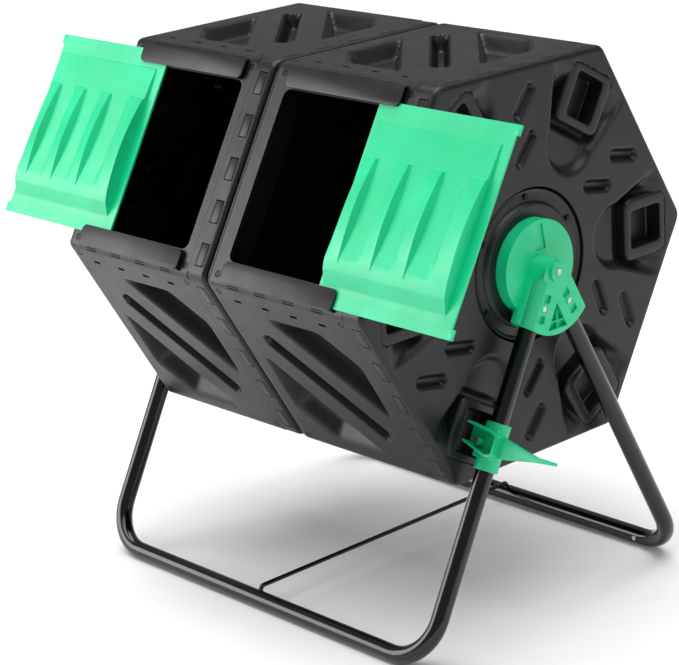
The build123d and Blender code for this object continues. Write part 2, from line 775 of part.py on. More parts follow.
with BuildPart() as door_blank:
    # x runs outwards from the door's inner edge, z = 0 is its inner face.
    with BuildSketch():
        with Locations((door_length / 2, 0)):
            RectangleRounded(door_length, 2 * door_half_height, 3)
        for v in (-1, 1):
            with Locations((door_length, v * (door_half_height - ear_width / 2))):
                RectangleRounded(2 * ear_length, ear_width, 2)
    extrude(amount=door_sheet)
    with BuildSketch(Plane.YZ.offset(field_inner_margin)):
        Polygon(
            (field_top, door_sheet),
            (field_ridge, door_sheet + field_height),
            (field_bottom, door_sheet),
            align=None,
        )
    extrude(amount=field_length)
    for i in range(rib_count):
        with Locations((field_inner_margin + i * rib_pitch, 0, 0)):
            add(door_rib.part)
    with BuildSketch(Plane.YZ.offset(field_inner_margin + wall)):
        Polygon(
            (field_top - 8 * wall, 0),
            (field_ridge, field_height),
            (field_bottom + wall, 0),
            align=None,
        )
    extrude(amount=field_length - 2 * wall, mode=Mode.SUBTRACT)

closed_ends = {}
for name, side in (("left", -1), ("right", 1)):
    opening_centre = chamber_starts[name] + panel_length / 2 + opening_shift
    closed_ends[name] = opening_centre - side * (opening_length / 2 - rail_start)
    door_start = closed_ends[name] + side * (rail_length - door_hold[name])
    place = face_plane(face_angles["door"], door_start).location
    place *= Location((0, door_rise[name], door_float))
    with BuildPart() as door:
        if side > 0:
            with Locations(place):
                add(door_blank.part)
        else:
            # The left door opens the other way: the same outline, mirrored.
            with Locations(place):
                add(mirror(door_blank.part, about=Plane.YZ, mode=Mode.PRIVATE))
    save(door, f"{name}_door")

for name, side in (("left", -1), ("right", 1)):
    plane = face_plane(face_angles["door"], closed_ends[name] + side * rail_length / 2)
    for edge_name, up in (("upper", 1), ("lower", -1)):
        with BuildPart() as rail:
            with BuildSketch(plane):
                with Locations((0, up * (rail_foot_v + rail_outer_v) / 2)):
                    Rectangle(rail_length, rail_foot)
            extrude(amount=rail_under)
            with BuildSketch(plane.offset(rail_under)):
                with Locations((0, up * (rail_inner_v + rail_outer_v) / 2)):
                    RectangleRounded(rail_length, rail_outer_v - rail_inner_v, rail_end_radius)
            extrude(amount=rail_top)
        save(rail, f"{name}_{edge_name}_rail")
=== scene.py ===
import json
import math

import bpy
import numpy as np
from mathutils import Matrix, Vector

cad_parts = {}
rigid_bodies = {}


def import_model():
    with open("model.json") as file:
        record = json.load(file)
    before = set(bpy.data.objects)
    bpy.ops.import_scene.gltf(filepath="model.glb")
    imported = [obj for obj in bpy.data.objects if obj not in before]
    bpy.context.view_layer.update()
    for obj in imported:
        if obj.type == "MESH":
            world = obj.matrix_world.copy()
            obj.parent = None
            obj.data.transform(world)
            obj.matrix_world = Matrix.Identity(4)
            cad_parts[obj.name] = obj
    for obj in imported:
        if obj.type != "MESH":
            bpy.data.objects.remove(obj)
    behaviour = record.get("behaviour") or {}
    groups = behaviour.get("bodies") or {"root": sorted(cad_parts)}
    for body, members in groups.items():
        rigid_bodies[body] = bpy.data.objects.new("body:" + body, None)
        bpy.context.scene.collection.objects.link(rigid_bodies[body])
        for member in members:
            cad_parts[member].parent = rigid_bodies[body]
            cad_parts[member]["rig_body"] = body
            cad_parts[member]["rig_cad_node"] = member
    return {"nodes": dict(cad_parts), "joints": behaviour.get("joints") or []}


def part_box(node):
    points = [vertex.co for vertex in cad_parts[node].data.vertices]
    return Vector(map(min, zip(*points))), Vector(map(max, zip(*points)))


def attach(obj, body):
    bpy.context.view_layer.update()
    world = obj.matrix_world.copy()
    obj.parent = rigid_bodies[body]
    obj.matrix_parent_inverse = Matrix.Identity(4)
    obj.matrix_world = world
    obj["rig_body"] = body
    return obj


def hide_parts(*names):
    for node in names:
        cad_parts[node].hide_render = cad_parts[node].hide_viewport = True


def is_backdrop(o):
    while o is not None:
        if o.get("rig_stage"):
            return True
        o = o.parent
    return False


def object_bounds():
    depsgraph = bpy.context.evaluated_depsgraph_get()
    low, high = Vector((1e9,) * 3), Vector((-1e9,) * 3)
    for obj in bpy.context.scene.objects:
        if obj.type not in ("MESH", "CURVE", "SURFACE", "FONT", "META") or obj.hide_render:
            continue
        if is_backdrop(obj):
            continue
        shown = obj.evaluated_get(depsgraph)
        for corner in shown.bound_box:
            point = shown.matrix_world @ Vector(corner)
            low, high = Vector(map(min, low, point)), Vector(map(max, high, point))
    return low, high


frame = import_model()
cad_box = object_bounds()
MM = 0.001
nodes = frame["nodes"]

# ------------------------------------------------------------------ the stand
# Two bent steel tubes, each a floor bar between two raked legs, powder coated
# gloss black. A thin rod ties the floor bars and spring buttons lock them.


def linear(hex_code):
    """sRGB hex colour as linear RGBA."""
    values = [int(hex_code[i:i + 2], 16) / 255 for i in (1, 3, 5)]
    return [v / 12.92 if v <= 0.04045 else ((v + 0.055) / 1.055) ** 2.4 for v in values] + [1.0]


def add_node(material, kind, settings=None, **inputs):
    """Add a shader node; an input is a value or another node's output."""
    node = material.node_tree.nodes.new(kind)
    for key, value in (settings or {}).items():
        setattr(node, key, value)
    for key, value in inputs.items():
        socket = node.inputs[key.replace("_", " ")]
        if isinstance(value, bpy.types.NodeSocket):
            material.node_tree.links.new(value, socket)
        else:
            socket.default_value = value
    return node


def surface_finish(name, tones, cloud, gloss=None, gloss_cloud=None, grain=None, **constants):
    """A finish of two cloudy tones, with an uneven gloss and a fine grain where it has them.

    tones are two hex colours and gloss two roughnesses; clouds are (size in mm, detail)
    and grain is (size, depth) in mm. The constants stand on the shader itself.
    """
    material = bpy.data.materials.new(name)
    material.use_nodes = True
    shader = material.node_tree.nodes["Principled BSDF"]
    link = material.node_tree.links.new
    for key, value in constants.items():
        shader.inputs[key.replace("_", " ")].default_value = value
    place = add_node(material, "ShaderNodeTexCoord").outputs["Object"]
    tone = add_node(material, "ShaderNodeTexNoise", Vector=place, Scale=1000 / cloud[0], Detail=cloud[1],
                    Roughness=0.6)
    ramp_node = add_node(material, "ShaderNodeValToRGB", Fac=tone.outputs["Fac"])
    for stop, position, colour in zip(ramp_node.color_ramp.elements, (0.35, 0.65), tones):
        stop.position = position
        stop.color = linear(colour)
    link(ramp_node.outputs["Color"], shader.inputs["Base Color"])
    if gloss:
        sheen = add_node(material, "ShaderNodeTexNoise", Vector=place, Scale=1000 / gloss_cloud[0],
                         Detail=gloss_cloud[1], Roughness=0.6)
        level = add_node(material, "ShaderNodeMapRange", Value=sheen.outputs["Fac"], From_Min=0.3,
                         From_Max=0.7, To_Min=gloss[0], To_Max=gloss[1])
        link(level.outputs["Result"], shader.inputs["Roughness"])
    if grain:
        texture = add_node(material, "ShaderNodeTexNoise", Vector=place, Scale=1000 / grain[0], Detail=2.0,
                           Roughness=0.6)
        relief = add_node(material, "ShaderNodeBump", Height=texture.outputs["Fac"], Distance=grain[1] * MM)
        link(relief.outputs["Normal"], shader.inputs["Normal"])
    return material


# Powder coat: a thick smooth gloss with a faint orange peel, 4 mm across.
powder_coat = surface_finish(
    "gloss_black_powder_coat", ("#020202", "#050505"), (60, 2), gloss=(0.13, 0.22), gloss_cloud=(25, 2),
    grain=(4, 0.06), Specular_IOR_Level=0.35, Coat_Weight=0.3, Coat_Roughness=0.05,
)

# Zinc-plated steel, bright with a slightly cloudy plating.
zinc = surface_finish(
    "bright_zinc_plated_steel", ("#a9adb0", "#d4d7d9"), (3, 2), gloss=(0.2, 0.38), gloss_cloud=(1.5, 2),
    Metallic=1.0,
)


def finish(names, material):
    """Give CAD nodes their material."""
    for name in names:
        mesh = nodes[name].data
        mesh.materials.clear()
        mesh.materials.append(material)


finish(["front_leg_frame", "rear_leg_frame", "tie_rod"], powder_coat)
finish(["frame_buttons", "leg_screws", "hub_bolts", "lock_pin"], zinc)

# ------------------------------------------------------------ the side panels
# Ten injection-moulded panels close the drum's sides, each stiffened by two
# deep recesses and a diagonal channel. They hook together along one edge and
# are screwed down at their corners.

# Black polypropylene, injection moulded with a fine satin texture. The grain
# is drawn 1.2 mm across, coarser than the real one, so that it shows.
black_plastic = surface_finish(
    "moulded_black_polypropylene", ("#0d0d0e", "#131314"), (90, 4), gloss=(0.33, 0.42), gloss_cloud=(40, 3),
    grain=(1.2, 0.05), IOR=1.49, Specular_IOR_Level=0.4,
)

# Black-oxide steel of the small screws, nearly black with a dull metal glint.
black_oxide = surface_finish(
    "black_oxide_steel", ("#121213", "#1e1e20"), (2, 2), gloss=(0.3, 0.45), gloss_cloud=(1.5, 2), Metallic=0.7
)

axis_height = next(j for j in frame["joints"] if j["name"] == "drum_spin")["pos_m"][2] / MM
panel_low, panel_high = (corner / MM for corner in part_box("right_top_panel"))
apothem = panel_high.z - axis_height
half_side = apothem * math.tan(math.radians(30))
panel_length = panel_high.x - panel_low.x
chamber_starts = {name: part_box(f"{name}_top_panel")[0].x / MM for name in ("left", "right")}
wall = 3.0
corner_round = 16.0
end_round = 9.0
face_turns = {"door": 150, "top": 90, "rear_upper": 30, "rear_lower": -30, "bottom": -90, "front_lower": -150}


def place_piece(piece, x_axis, y_axis, z_axis, origin):
    """Carry a piece modelled at the origin in millimetres to its place in the object."""
    axes = Matrix((x_axis, y_axis, z_axis)).transposed().to_4x4()
    piece.data.transform(Matrix.Translation(Vector(origin) * MM) @ axes @ Matrix.Scale(MM, 4))
    piece.data.update()


def on_face(piece, angle, x):
    """Place a piece on a side of the drum: x along the drum, y up the face, z outwards."""
    turn = math.radians(angle)
    out = Vector((0, math.cos(turn), math.sin(turn)))
    origin = (x, apothem * out.y, axis_height + apothem * out.z)
    place_piece(piece, (1, 0, 0), out.cross((1, 0, 0)), out, origin)


def sheet(name, columns, rows, shape):
    """A moulded sheet: a grid whose points are placed by shape(column, row)."""
    bpy.ops.object.select_all(action="DESELECT")
    bpy.ops.mesh.primitive_grid_add(x_subdivisions=len(columns) - 1, y_subdivisions=len(rows) - 1, size=1)
    piece = bpy.context.object
    piece.name = piece.data.name = name
    across, up = np.meshgrid(columns, rows)
    points = np.stack(shape(across.ravel(), up.ravel()), axis=1)
    piece.data.vertices.foreach_set("co", points.astype(np.float32).ravel())
    return piece


def select_only(piece):
    """Select one piece and make it the active one."""
    bpy.ops.object.select_all(action="DESELECT")
    piece.select_set(True)
    bpy.context.view_layer.objects.active = piece


def modify(piece, kind, **settings):
    """Apply a modifier to a piece."""
    select_only(piece)
    modifier = piece.modifiers.new(kind.lower(), kind)
    for key, value in settings.items():
        setattr(modifier, key, value)
    bpy.ops.object.modifier_apply(modifier=modifier.name)


def ramp(distance, run):
    """0 outside, 1 past run, with a rounded top and foot: a moulded wall's rise."""
    t = np.clip(distance / run, 0, 1)
    return t * t * (3 - 2 * t)


def rolled(distance, radius, turn=90):
    """Drop of an edge rolled over by an arc, at a distance inside the edge."""
    run = radius * math.sin(math.radians(turn))
    inside = np.clip(run - distance, 0, run)
    return radius - np.sqrt(radius**2 - inside**2)


def steps(*stops, pitch=2.5):
    """Grid positions about a pitch apart that land on each stop."""
    parts = [
        np.linspace(a, b, max(1, round((b - a) / pitch)), endpoint=False) for a, b in zip(stops, stops[1:])
    ]
    return np.append(np.concatenate(parts), stops[-1])


recess_top, recess_side, recess_cut, bar_edge = 124.0, 110.0, 54.0, 52.3
recess_depth = 24.0
recess_long_run, recess_run, bar_run, channel_run = 26.0, 20.0, 10.0, 9.0
channel_half_length, channel_half_width = 112.0, 14.0
pattern_shift_x, pattern_shift_v = 6.0, 12.0


def recess_rise(x, v):
    """Depth share of the large recess above the channel, from its four edges."""
    edges = [
        ((recess_top - v), recess_long_run),
        ((recess_side - x), recess_run),
        ((recess_side + recess_top - recess_cut - x - v) / math.sqrt(2), recess_run),
        ((x + v) / math.sqrt(2) - bar_edge, bar_run),
    ]
    shares = np.stack([np.clip(distance / run, -1, 3) for distance, run in edges])
    nearest = -0.12 * np.log(np.exp(-shares / 0.12).sum(axis=0))
    return ramp(nearest, 1.0)


def edge_drop(x, v):
    """How far a side panel's rolled long edges and flanged end fall below its face."""
    return rolled(half_side - np.abs(v), corner_round, 30) + rolled(panel_length / 2 + x, end_round)


def panel_shape(hooked_edge):
    """Outer face of a plain panel; the pattern stands away from its hooked edge."""
    def shape(x, v):
        px, pv = x - pattern_shift_x, v + hooked_edge * pattern_shift_v
        along, across = (px - pv) / math.sqrt(2), (px + pv) / math.sqrt(2)
        past = np.clip(np.abs(along) - channel_half_length + channel_half_width, 0, None)
        channel = channel_half_width - np.hypot(past, across)
        share = np.maximum.reduce([recess_rise(px, pv), recess_rise(-px, -pv), ramp(channel, channel_run)])
        return x, v, -recess_depth * share - edge_drop(x, v)
    return shape


def panel_grid(pitch_x, pitch_v):
    """Grid positions of a side panel, closer together where its flanged end rolls over."""
    end = -panel_length / 2
    columns = steps(end, end + end_round, panel_length / 2, pitch=pitch_x)
    columns = np.concatenate([[end, end + 0.4, end + 1.4], columns[1:]])
    rows = steps(0.2 - half_side, 8 - half_side, half_side - 8, half_side - 0.2, pitch=pitch_v)
    return columns, rows


def join_pieces(piece, *others):
    """Join finished meshes into one piece."""
    select_only(piece)
    for other in others:
        other.select_set(True)
    if others:
        bpy.ops.object.join()


def boxes(name, spots):
    """One mesh of plain boxes, each (x, y, z, length, width, height)."""
    made = []
    for x, y, z, length, width, height in spots:
        bpy.ops.mesh.primitive_cube_add(size=1, location=(x, y, z))
        box = bpy.context.object
        box.data.transform(Matrix.LocRotScale(box.location, None, (length, width, height)))
        box.location = (0, 0, 0)
        made.append(box)
    join_pieces(*made)
    made[0].name = made[0].data.name = name
    return made[0]


def discs(name, spots, radius, height, sides=20):
    """One mesh of short cylinders at (x, y, z)."""
    made = []
    for spot in spots:
        bpy.ops.mesh.primitive_cylinder_add(vertices=sides, radius=radius, depth=height, location=spot)
        disc = bpy.context.object
        disc.data.transform(Matrix.Translation(disc.location))
        disc.location = (0, 0, 0)
        made.append(disc)
    join_pieces(*made)
    made[0].name = made[0].data.name = name
    return made[0]


def cut(piece, cutter):
    """Cut a cutter's shape out of a piece and delete the cutter."""
    modify(piece, "BOOLEAN", operation="DIFFERENCE", object=cutter, solver="FAST")
    bpy.data.objects.remove(cutter)


def smooth(piece, angle=35):
    """Smooth shading that keeps edges sharper than the angle."""
    select_only(piece)
    bpy.ops.object.shade_smooth_by_angle(angle=math.radians(angle))


def hand_over(piece, material, body, slot_name, *replaced):
    """Finish a piece: its material, the body it rides on and the CAD nodes it stands for."""
    piece.data.materials.clear()
    piece.data.materials.append(material)
    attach(piece, body)
    if replaced:
        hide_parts(*replaced)


def copy_of(piece, name):
    """A copy of a piece with its own mesh."""
    copy = piece.copy()
    copy.data = piece.data.copy()
    copy.name = copy.data.name = name
    bpy.context.scene.collection.objects.link(copy)
    return copy


slot_pitch, slot_inset, slot_length, slot_width, slot_cut = 56.0, 27.0, 14.0, 4.5, 4.0
mark_length, mark_shift = 22.0, 4.0
well_radius, well_cut = 5.0, 3.6
screw_ends = (-panel_length / 2 + 21, panel_length / 2 - 8)
screw_v = half_side - 14
well_spots = [(x, v, 0) for x in screw_ends for v in (-screw_v, screw_v)]
slot_u = [(i - 1.5) * slot_pitch for i in range(4)]


def hooked_panel(hooked_edge):
    """A plain panel with latch slots and hook marks along one edge, and screw wells."""
    panel = sheet("panel_mould", *panel_grid(2.5, 2.5), panel_shape(hooked_edge))
    modify(panel, "SOLIDIFY", thickness=wall, offset=-1)
    slot_row = hooked_edge * (half_side - slot_inset)
    mark_row = hooked_edge * (half_side - 3)
    spots = [(u, slot_row, -0.5, slot_length, slot_width, slot_cut) for u in slot_u]
    spots += [(u, mark_row - hooked_edge * 3, 0, 3.5, 6, 5) for u in slot_u]
    spots += [(u + mark_shift, mark_row, 0, mark_length, 1.6, 5) for u in slot_u]
    cut(panel, boxes("latch_slots", spots))
    cut(panel, discs("screw_wells", well_spots, well_radius, well_cut))
    smooth(panel)
    return panel


moulds = {edge: hooked_panel(edge) for edge in (-1, 1)}
hooked_edges = {"top": -1, "rear_upper": -1, "bottom": -1, "rear_lower": 1, "front_lower": 1}
for chamber, start in chamber_starts.items():
    for face, edge in hooked_edges.items():
        side_panel = copy_of(moulds[edge], f"{chamber}_{face}_skin")
        on_face(side_panel, face_turns[face], start + panel_length / 2)
        hand_over(side_panel, black_plastic, "drum", "black_plastic", f"{chamber}_{face}_panel")
for mould in moulds.values():
    bpy.data.objects.remove(mould)
finish(["panel_screws", "ring_screws"], black_oxide)

# ------------------------------------------------------------ the door panels
# A flat moulded frame on each chamber, with a rounded opening and latch slots
# along both long edges, hooked and screwed on like the plain panels.
opening_length, opening_height, opening_corner, opening_shift = 224.0, 246.0, 12.0, 8.0
frame_slot_v, frame_slot_width = 148.0, 4.0

for chamber, start in chamber_starts.items():
    door_panel = sheet(f"{chamber}_door_frame", *panel_grid(3.0, 4.0), lambda x, v: (x, v, -edge_drop(x, v)))
    modify(door_panel, "SOLIDIFY", thickness=wall, offset=-1)
    opening = boxes("opening", [(opening_shift, 0, 0, opening_length, opening_height, 60)])
    modify(opening, "BEVEL", width=opening_corner, segments=8)
    modify(door_panel, "BOOLEAN", operation="DIFFERENCE", object=opening, solver="EXACT")
    bpy.data.objects.remove(opening)
    pairs = [(u, side) for u in slot_u for side in (-1, 1)]
    spots = [(u, side * frame_slot_v, -0.5, slot_length, frame_slot_width, slot_cut) for u, side in pairs]
    spots += [(u + mark_shift, side * (half_side - 2), 0, mark_length, 1.4, 5) for u, side in pairs]
    cut(door_panel, boxes("latch_slots", spots))
    cut(door_panel, discs("screw_wells", well_spots, well_radius, well_cut))
    smooth(door_panel)
    on_face(door_panel, face_turns["door"], start + panel_length / 2)
    hand_over(door_panel, black_plastic, "drum", "black_plastic", f"{chamber}_door_panel")

# ------------------------------------------------------------------ the doors
# Two sliding doors of green polypropylene: a thin flanged sheet whose raised
# field carries four arched ribs, with a finger ear at each outer corner.

# Bright green polypropylene, glossier, with faint flow marks along the part.
green_plastic = surface_finish(
    "moulded_green_polypropylene", ("#02bd80", "#05c88c"), (80, 3), gloss=(0.34, 0.44), gloss_cloud=(30, 2),
    grain=(1.5, 0.03), IOR=1.49, Specular_IOR_Level=0.6,
)

door_length, door_half_height, door_sheet = 245.0, 139.0, 3.0
field_start, field_end = 8.0, 229.0
field_top, field_ridge, field_foot, field_height = 112.0, -85.0, -112.0, 14.5
rib_starts = (8.0, 68.0, 128.0, 194.0)
rib_width, rib_rise, rib_bow, rib_heel = 25.0, 8.5, 5.5, 3.0
rib_top, rib_foot = 65.0, -82.0
heel_end, crest_at, wall_end = 0.04, 0.4, 0.5
ear_inset, ear_size = 7.0, (9.0, 14.0, 3.4)


def rib_arch(v):
    """Height share of a rib along its length: it springs fast at the top."""
    s = np.clip((rib_top - v) / (rib_top - rib_foot), 0, 1)
    return np.where(s > 0, 0.3 * (1 - s) + 0.85 * np.sin(np.pi * s), 0)


def field_height_at(v):
    """The raised field swells from its top edge to a low ridge near the foot."""
    stops = (field_foot, field_foot + 3, field_foot + 11, field_ridge - 8, field_ridge, field_ridge + 9,
             field_top - 1.5, field_top)
    heights = (0, 1.2, 6.5, field_height - 3.2, field_height - 0.8, field_height, 1.6, 0)
    return np.interp(v, stops, heights)


def door_shape(station, v):
    """Outer face of a door. Stations count the ribs: a ramp, its curved wall, then the field."""
    number = np.clip(np.floor(station), 0, 3).astype(int)
    share = station - number
    start = np.array(rib_starts)[number]
    last = number == 3
    after = np.where(last, door_length, np.append(rib_starts[1:], door_length)[number])
    crest = np.where(last, field_end - 1, start + rib_width)
    arch = rib_arch(v)
    foot = crest + np.where(last, 1.5, 0.8 + rib_bow * arch)
    past_crest = (share - crest_at) / (wall_end - crest_at)
    past_wall = (share - wall_end) / (1 - wall_end)
    x = np.select(
        [share < crest_at, share < wall_end],
        [start + share / crest_at * (crest - start), crest + past_crest * (foot - crest)],
        foot + past_wall * (after - foot),
    )
    past_heel = (share - heel_end) / (crest_at - heel_end)
    heel = rib_heel / rib_rise
    lift = np.select(
        [share < heel_end, share < crest_at, share < wall_end],
        [share / heel_end * heel, heel + (1 - heel) * past_heel, 1 - past_crest],
        0.0,
    )
    margin = station < 0
    x = np.where(margin, field_start * (1 + station), x)
    lift = np.where(margin, 0.0, lift)
    on_field = np.where(last & (share >= crest_at), lift, 1.0)
    on_field = np.where(margin, ramp(x - field_start + 3, 3.0), on_field)
    z = door_sheet + field_height_at(v) * on_field + rib_rise * arch * lift
    return x, v, z


def door_skin(name, side):
    """One door, modelled flat at the origin, its ears at the drum's outer end."""
    rib_stations = np.concatenate([
        [0], np.linspace(heel_end, crest_at, 9), [0.433, 0.467], np.linspace(wall_end, 1, 9)[:-1],
    ])
    stations = np.concatenate([
        [-1, -0.5, -0.38, -0.25, -0.12],
        *[i + rib_stations for i in range(4)],
        [4 - 1e-6],
    ])
    rows = np.unique(np.concatenate([
        steps(-door_half_height, field_foot, pitch=9), steps(field_foot, field_ridge - 6, pitch=2),
        steps(field_ridge - 6, field_ridge + 9, pitch=1.5), steps(field_ridge + 9, rib_top, pitch=2.5),
        [rib_top + 0.4], steps(rib_top + 3, field_top - 1.5, pitch=6), [field_top],
        steps(field_top, door_half_height, pitch=9),
    ]).round(3))
    door = sheet(name, stations, rows, door_shape)
    modify(door, "SOLIDIFY", thickness=door_sheet, offset=-1)
    ear_x = door_length + 1 if side > 0 else -1
    ear_v = door_half_height - ear_inset
    ears = boxes("ears", [(ear_x, s * ear_v, door_sheet / 2, *ear_size) for s in (-1, 1)])
    modify(ears, "BEVEL", width=0.8, segments=2)
    join_pieces(door, ears)
    return door


door_turn = math.radians(face_turns["door"])
face_out = Vector((0, math.cos(door_turn), math.sin(door_turn)))
face_up = face_out.cross((1, 0, 0))
for chamber, side in (("left", -1), ("right", 1)):
    door = door_skin(f"{chamber}_door_skin", side)
    low, high = (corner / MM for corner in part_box(f"{chamber}_door"))
    near_x = low.x if side > 0 else high.x - door_length
    spans = [v.co / MM - Vector((0, 0, axis_height)) for v in nodes[f"{chamber}_door"].data.vertices]
    rise = (max(p.dot(face_up) for p in spans) + min(p.dot(face_up) for p in spans)) / 2
    float_gap = min(p.dot(face_out) for p in spans) - apothem
    door.data.transform(Matrix.Translation((0, rise, float_gap)))
    on_face(door, face_turns["door"], near_x)
    smooth(door, 25)
    hand_over(door, green_plastic, f"door_{chamber}", "green_plastic", f"{chamber}_door")

# ------------------------------------------------------------------ the rails
# Four rails of black polypropylene, one over each long edge of a door. They are
# moulded with a rounded lip and snapped onto the door panels.


def softened(node, name, width, segments=2, angle=40):
    """A copy of a CAD node with its edges rounded as a mould rounds them."""
    piece = copy_of(nodes[node], name)
    piece.parent = None
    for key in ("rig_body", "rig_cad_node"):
        if key in piece:
            del piece[key]
    select_only(piece)
    bpy.ops.object.mode_set(mode="EDIT")
    bpy.ops.mesh.select_all(action="SELECT")
    bpy.ops.mesh.remove_doubles(threshold=1e-5)
    bpy.ops.mesh.dissolve_limited(angle_limit=math.radians(1))
    bpy.ops.object.mode_set(mode="OBJECT")
    modify(piece, "BEVEL", width=width * MM, segments=segments, limit_method="ANGLE",
           angle_limit=math.radians(angle), loop_slide=False, miter_outer="MITER_ARC")
    smooth(piece)
    return piece


for chamber in ("left", "right"):
    for edge in ("upper", "lower"):
        rail = softened(f"{chamber}_{edge}_rail", f"{chamber}_{edge}_rail_skin", 0.8)
        hand_over(rail, black_plastic, "drum", "black_plastic", f"{chamber}_{edge}_rail")

# ------------------------------------------------------------- the end panels
# A hexagonal moulded cap at each end of the drum, with six framed hand grips
# in hollows, pairs of short ribs between them and a round seat for the hub.
grip_radius, grip_half_length, grip_half_width, grip_corner = 238.0, 43.0, 45.0, 14.0
pocket_half_length, pocket_half_width, pocket_depth = 31.0, 27.0, 25.0
dish_centre, dish_round, dish_flare, dish_depth = 178.0, 50.0, 0.38, 12.0
pill_radii, pill_half_length, pill_half_width, pill_depth = (160.0, 224.0), 29.0, 9.5, 10.0
pill_turn = math.radians(-40)
seat_radius, seat_depth = 106.0, 12.0
rim_round, rim_width = 7.0, 36.0
moat_depth, moat_width = 7.0, 15.0
round_until, waist_size, waist_corner = 112.0, 190.0, 60.0


def hexagon_radius(turn, size, corner):
    """Distance to a hexagon with rounded corners; with corner = size it is a circle."""
    lean = np.mod(turn, math.radians(60)) - math.radians(30)
    centre = (size - corner) / math.cos(math.radians(30))
    to_corner = math.radians(30) - np.abs(lean)
    arc_edge = np.arctan2(centre * math.sin(math.radians(30)), size)
    half_chord = np.sqrt(np.clip(corner**2 - (centre * np.sin(to_corner)) ** 2, 0, None))
    on_arc = centre * np.cos(to_corner) + half_chord
    return np.where(np.abs(lean) > arc_edge, on_arc, size / np.cos(lean))


def rounded_box(x, y, half_length, half_width, corner):
    """Distance inside a rectangle with rounded corners."""
    dx, dy = np.abs(x) - half_length + corner, np.abs(y) - half_width + corner
    outside = np.hypot(np.clip(dx, 0, None), np.clip(dy, 0, None))
    return corner - outside - np.clip(np.maximum(dx, dy), None, 0)


def end_face_depth(x, y):
    """Depth of the moulded forms on the face of an end panel."""
    turn, radius = np.arctan2(y, x), np.hypot(x, y)
    depth = seat_depth * ramp(seat_radius + 1 - radius, 3.0)
    lean = np.mod(turn + math.radians(30), math.radians(60)) - math.radians(30)
    gx, gy = radius * np.cos(lean), radius * np.sin(lean)
    past = np.clip(gx - dish_centre, 0, None)
    dish = np.where(gx < dish_centre, dish_round - np.hypot(gx - dish_centre, gy),
                    dish_round + dish_flare * past - np.abs(gy))
    fade = 1 - ramp(gx - 222, 48.0)
    frame_inside = rounded_box(gx - grip_radius, gy, grip_half_length, grip_half_width, grip_corner)
    moat = moat_depth * ramp(frame_inside + moat_width, 11.0) * fade
    hollow = dish_depth * fade * ramp(dish, 13.0) + moat * ramp(dish - 8, 12.0)
    under_frame = (pocket_depth + 2 * wall) * ramp(frame_inside - 1.5, 8.0)
    depth = np.maximum(np.maximum(depth, hollow), under_frame)
    lean = np.mod(turn, math.radians(60)) - math.radians(30)
    px, py = radius * np.cos(lean), radius * np.sin(lean)
    for pill_radius in pill_radii:
        along = (px - pill_radius) * math.cos(pill_turn) + py * math.sin(pill_turn)
        across = -(px - pill_radius) * math.sin(pill_turn) + py * math.cos(pill_turn)
        past = np.clip(np.abs(along) - pill_half_length + pill_half_width, 0, None)
        depth = np.maximum(depth, pill_depth * ramp(pill_half_width - np.hypot(past, across), 6.0))
    return depth


def close_up(piece):
    """Merge a rolled grid's meeting edges and turn its faces outwards."""
    bpy.ops.object.mode_set(mode="EDIT")
    bpy.ops.mesh.select_all(action="SELECT")
    bpy.ops.mesh.remove_doubles(threshold=1e-3)
    bpy.ops.mesh.normals_make_consistent(inside=False)
    bpy.ops.object.mode_set(mode="OBJECT")


def cap_profile(size, inner, rim):
    """Rows of a cap: (size, drop) across the face, round its edge and along the rim."""
    near_seat = [a for a in np.arange(seat_radius - 4, seat_radius + 4, 1.0) if a > inner]
    plain = steps(inner, size - rim_round, pitch=2.7)
    face = [(a, 0.0) for a in sorted([*plain, *near_seat])]
    turns = np.radians(np.linspace(0, 90, 8)[1:])
    edge = [(size - rim_round + rim_round * math.sin(t), rim_round * (1 - math.cos(t))) for t in turns]
    side = [(size, d) for d in steps(rim_round, rim, pitch=6)[1:]]
    return np.array(face + edge + side)


def cap(name, size, inner, rim, depth_of, around=540):
    """A hexagonal cap: a grid rolled round the axis, z outwards, its ends merged."""
    profile = cap_profile(size, inner, rim)
    numbers = np.arange(len(profile))

    def shape(turn, row):
        a = np.interp(row, numbers, profile[:, 0])
        drop = np.interp(row, numbers, profile[:, 1])
        corner = np.interp(a, (round_until, waist_size, size), (round_until, waist_corner, corner_round))
        corner = np.minimum(a, corner)
        radius = hexagon_radius(turn, a, corner)
        x, y = radius * np.cos(turn), radius * np.sin(turn)
        edge = ramp(size - rim_round - a + 4, 8.0)
        return x, y, -drop - depth_of(x, y) * edge

    piece = sheet(name, np.linspace(0, 2 * math.pi, around + 1), numbers, shape)
    close_up(piece)
    modify(piece, "SOLIDIFY", thickness=wall, offset=-1)
    return piece


def rounded_block(name, profile, segments=6):
    """A closed block from rows of (half length, half width, corner, height) of rounded rectangles."""
    numbers = np.arange(len(profile))
    table = np.array(profile, float)

    def shape(share, row):
        half_x, half_y, corner, height = (np.interp(row, numbers, table[:, i]) for i in range(4))
        quarter = np.floor(share) % 4
        turn = np.radians(90 * share)
        x = np.where((quarter == 0) | (quarter == 3), 1, -1) * (half_x - corner) + corner * np.cos(turn)
        y = np.where(quarter < 2, 1, -1) * (half_y - corner) + corner * np.sin(turn)
        return x, y, height

    shares = np.concatenate([q + np.linspace(0, 1 - 1e-6, segments + 1) for q in range(4)] + [[4.0]])
    block = sheet(name, shares, numbers, shape)
    close_up(block)
    return block


def arc_rows(half_x, half_y, corner, z, radius, outer=True, count=4):
    """Rows that round a block's edge by a quarter arc; an inner edge is rounded inwards."""
    rows = []
    for t in np.radians(np.linspace(0, 90, count + 1)):
        back = radius * (1 - math.cos(t)) if outer else radius * (1 - math.sin(t))
        drop = radius * (1 - math.sin(t)) if outer else radius * (1 - math.cos(t))
        step = -back if outer else back
        rows.append((half_x + step, half_y + step, max(corner + step, 0.5), z - drop))
    return rows


